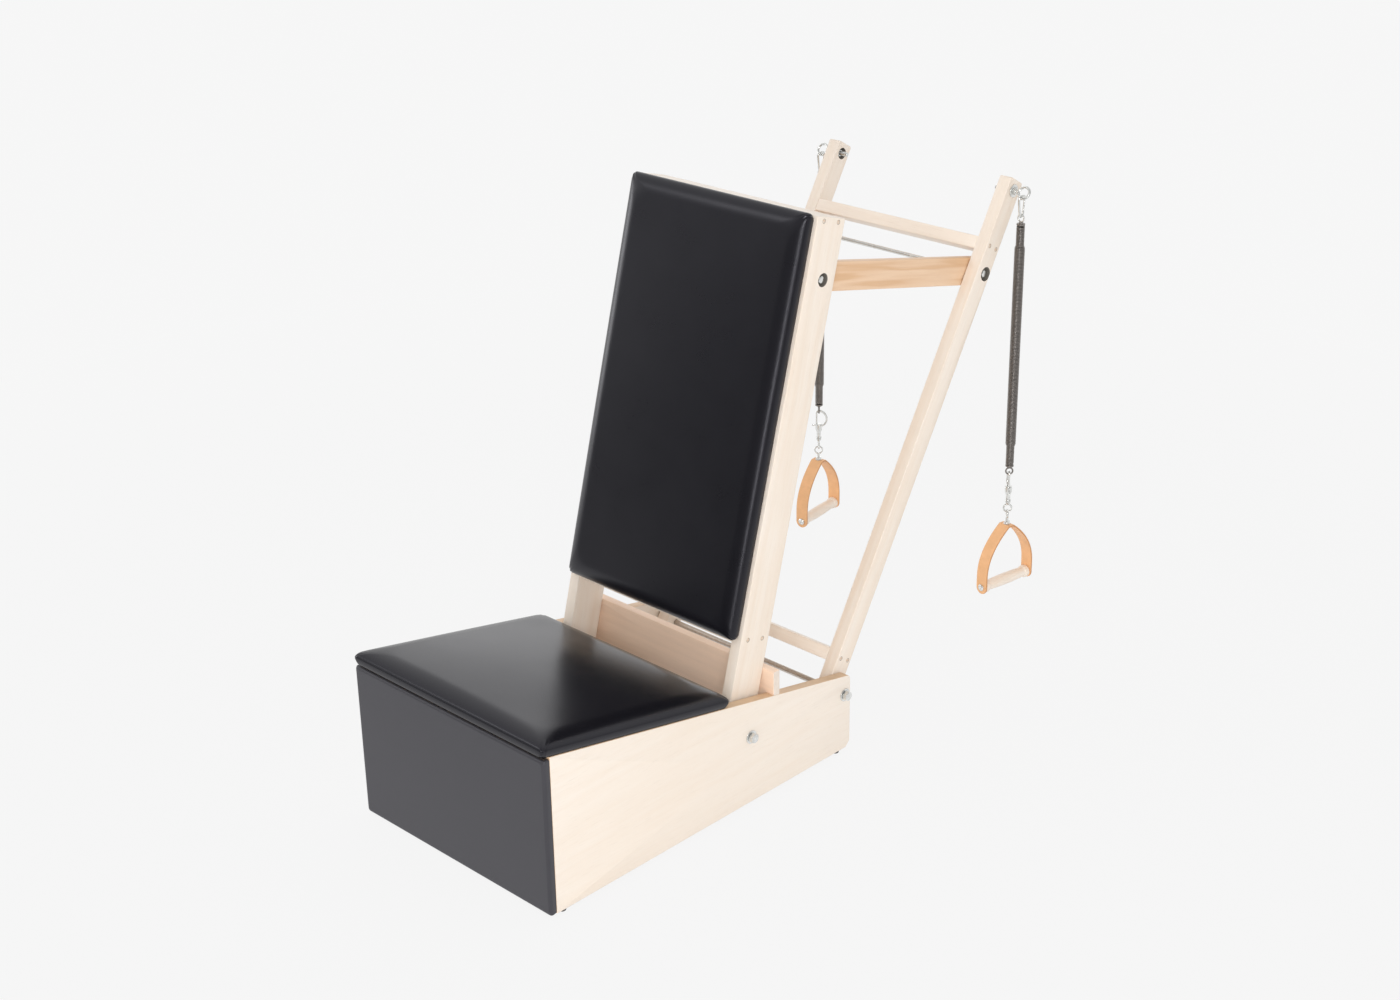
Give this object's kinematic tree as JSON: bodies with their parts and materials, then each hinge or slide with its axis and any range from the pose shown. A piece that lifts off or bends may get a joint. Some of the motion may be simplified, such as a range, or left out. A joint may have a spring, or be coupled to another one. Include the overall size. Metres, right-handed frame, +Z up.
{
  "type": "pilates arm chair",
  "caption": "Low padded box seat with a tilted padded backrest, a rear ladder frame on two link bars, and a hanging spring with a leather strap handle on each side.",
  "frame": {"origin": "centre of the bounding box on the floor", "axes": "+Z up, -Y towards the front of the seat, +X to the sitter's left"},
  "size_m": [0.6152, 1.4926, 1.2091],
  "materials": {
    "maple": "clear satin lacquer",
    "maple_edge": "clear satin lacquer",
    "birch_ply": "bare",
    "black_vinyl": "semi-gloss grain",
    "tan_leather": "smooth, natural",
    "zinc_steel": "bright zinc",
    "dark_spring_steel": "dark oiled steel"
  },
  "bodies": {
    "base": {"side_panel_left": "maple", "side_panel_right": "maple", "front_board": "birch_ply", "front_pad": "black_vinyl", "seat_board": "birch_ply", "seat_cushion": "black_vinyl", "stop_board": "maple", "back_pivot_bolt": "zinc_steel", "back_pivot_nut": "zinc_steel", "back_pivot_washer_left": "zinc_steel", "back_pivot_washer_right": "zinc_steel", "rear_pivot_bolt": "zinc_steel", "rear_pivot_nut": "zinc_steel", "rear_pivot_washer_left": "zinc_steel", "rear_pivot_washer_right": "zinc_steel"},
    "backrest": {"back_post_left": "maple", "back_post_right": "maple", "back_top_rail": "maple_edge", "back_lower_rail": "maple_edge", "back_board": "birch_ply", "back_cushion": "black_vinyl", "back_link_bolt": "zinc_steel", "back_link_nut": "zinc_steel"},
    "rear_frame": {"rear_post_left": "maple", "rear_post_right": "maple", "rear_top_rail": "maple", "rear_lower_rail": "maple", "rear_link_bolt": "zinc_steel", "rear_link_nut": "zinc_steel", "eye_bolt_left": "zinc_steel", "eye_bolt_right": "zinc_steel", "eye_nut_left": "zinc_steel", "eye_nut_right": "zinc_steel"},
    "link_left": {"link_bar_left": "maple_edge"},
    "link_right": {"link_bar_right": "maple_edge"},
    "snap_left": {"snap_link_left": "zinc_steel"},
    "gate_left": {"snap_gate_left": "zinc_steel"},
    "spring_body_left": {"spring_top_eye_left": "dark_spring_steel", "spring_left": "dark_spring_steel"},
    "spring_foot_left": {"spring_end_eye_left": "dark_spring_steel"},
    "hook_left": {"snap_hook_left": "zinc_steel"},
    "thumb_bolt_left": {"snap_bolt_left": "zinc_steel"},
    "swivel_left": {"snap_swivel_left": "zinc_steel"},
    "handle_left": {"handle_eye_left": "zinc_steel", "strap_left": "tan_leather", "grip_pin_left": "zinc_steel"},
    "grip_roller_left": {"grip_left": "maple"},
    "snap_right": {"snap_link_right": "zinc_steel"},
    "gate_right": {"snap_gate_right": "zinc_steel"},
    "spring_body_right": {"spring_top_eye_right": "dark_spring_steel", "spring_right": "dark_spring_steel"},
    "spring_foot_right": {"spring_end_eye_right": "dark_spring_steel"},
    "hook_right": {"snap_hook_right": "zinc_steel"},
    "thumb_bolt_right": {"snap_bolt_right": "zinc_steel"},
    "swivel_right": {"snap_swivel_right": "zinc_steel"},
    "handle_right": {"handle_eye_right": "zinc_steel", "strap_right": "tan_leather", "grip_pin_right": "zinc_steel"},
    "grip_roller_right": {"grip_right": "maple"}
  },
  "joints": [
    {"name": "backrest_fold", "type": "hinge", "parent": "base", "child": "backrest", "pos_m": [0, -0.1843, 0.1608], "axis": [1, 0, 0], "range_deg": [0, 15]},
    {"name": "rear_frame_fold", "type": "hinge", "parent": "base", "child": "rear_frame", "pos_m": [0, 0.1097, 0.1383], "axis": [1, 0, 0], "range_deg": [0, 15.6]},
    {"name": "link_turn_left", "type": "hinge", "parent": "backrest", "child": "link_left", "pos_m": [0, 0.06216, 1.06792], "axis": [1, 0, 0], "range_deg": [-8.1, 0]},
    {"name": "link_turn_right", "type": "hinge", "parent": "backrest", "child": "link_right", "pos_m": [0, 0.06216, 1.06792], "axis": [1, 0, 0], "range_deg": [-8.1, 0]},
    {"name": "set_swing_left", "type": "hinge", "parent": "rear_frame", "child": "snap_left", "pos_m": [0.282, 0.66905, 1.1075], "axis": [-1, 0, 0], "range_deg": [-30, 100]},
    {"name": "gate_left", "type": "hinge", "parent": "snap_left", "child": "gate_left", "pos_m": [0.282, 0.67525, 1.0779], "axis": [1, 0, 0], "range_deg": [0, 14], "stiffness_Nm_per_rad": 0.02, "springref_deg": -17.19},
    {"name": "spring_sway_left", "type": "hinge", "parent": "snap_left", "child": "spring_body_left", "pos_m": [0.282, 0.66905, 1.0684], "axis": [0, -1, 0], "range_deg": [-12, 60]},
    {"name": "spring_stretch_left", "type": "slide", "parent": "spring_body_left", "child": "spring_foot_left", "axis": [0, 0, -1], "range_m": [0, 0.3], "stiffness_N_per_m": 150, "springref_m": -0.03, "deforming": ["spring_left"]},
    {"name": "hook_swing_left", "type": "hinge", "parent": "spring_foot_left", "child": "hook_left", "pos_m": [0.282, 0.66905, 0.4731], "axis": [-0.7071, -0.7071, 0], "range_deg": [-50, 50]},
    {"name": "thumb_slide_left", "type": "slide", "parent": "hook_left", "child": "thumb_bolt_left", "axis": [0, 0, -1], "range_m": [0, 0.0078], "stiffness_N_per_m": 150, "springref_m": -0.006},
    {"name": "swivel_left", "type": "hinge", "parent": "hook_left", "child": "swivel_left", "pos_m": [0.282, 0.66905, 0.4079], "axis": [0, 0, 1], "continuous": true},
    {"name": "handle_swing_left", "type": "hinge", "parent": "swivel_left", "child": "handle_left", "pos_m": [0.282, 0.66905, 0.3814], "axis": [-0.7071, -0.7071, 0], "range_deg": [-60, 60]},
    {"name": "grip_roll_left", "type": "hinge", "parent": "handle_left", "child": "grip_roller_left", "pos_m": [0.282, 0.66905, 0.2133], "axis": [0.1392, 0.9903, 0], "continuous": true},
    {"name": "set_swing_right", "type": "hinge", "parent": "rear_frame", "child": "snap_right", "pos_m": [-0.282, 0.66905, 1.1075], "axis": [-1, 0, 0], "range_deg": [-30, 100]},
    {"name": "gate_right", "type": "hinge", "parent": "snap_right", "child": "gate_right", "pos_m": [-0.282, 0.67525, 1.0779], "axis": [1, 0, 0], "range_deg": [0, 14], "stiffness_Nm_per_rad": 0.02, "springref_deg": -17.19},
    {"name": "spring_sway_right", "type": "hinge", "parent": "snap_right", "child": "spring_body_right", "pos_m": [-0.282, 0.66905, 1.0684], "axis": [0, 1, 0], "range_deg": [-12, 60]},
    {"name": "spring_stretch_right", "type": "slide", "parent": "spring_body_right", "child": "spring_foot_right", "axis": [0, 0, -1], "range_m": [0, 0.3], "stiffness_N_per_m": 150, "springref_m": -0.03, "deforming": ["spring_right"]},
    {"name": "hook_swing_right", "type": "hinge", "parent": "spring_foot_right", "child": "hook_right", "pos_m": [-0.282, 0.66905, 0.4731], "axis": [-0.7071, 0.7071, 0], "range_deg": [-50, 50]},
    {"name": "thumb_slide_right", "type": "slide", "parent": "hook_right", "child": "thumb_bolt_right", "axis": [0, 0, -1], "range_m": [0, 0.0078], "stiffness_N_per_m": 150, "springref_m": -0.006},
    {"name": "swivel_right", "type": "hinge", "parent": "hook_right", "child": "swivel_right", "pos_m": [-0.282, 0.66905, 0.4079], "axis": [0, 0, 1], "continuous": true},
    {"name": "handle_swing_right", "type": "hinge", "parent": "swivel_right", "child": "handle_right", "pos_m": [-0.282, 0.66905, 0.3814], "axis": [-0.7071, 0.7071, 0], "range_deg": [-60, 60]},
    {"name": "grip_roll_right", "type": "hinge", "parent": "handle_right", "child": "grip_roller_right", "pos_m": [-0.282, 0.66905, 0.2133], "axis": [-0.1392, 0.9903, 0], "continuous": true}
  ],
  "couplings": [
    {"joint": "rear_frame_fold", "follows": "backrest_fold", "ratio": 1.0287},
    {"joint": "link_turn_left", "follows": "backrest_fold", "ratio": -0.5318},
    {"joint": "link_turn_right", "follows": "backrest_fold", "ratio": -0.5318}
  ]
}
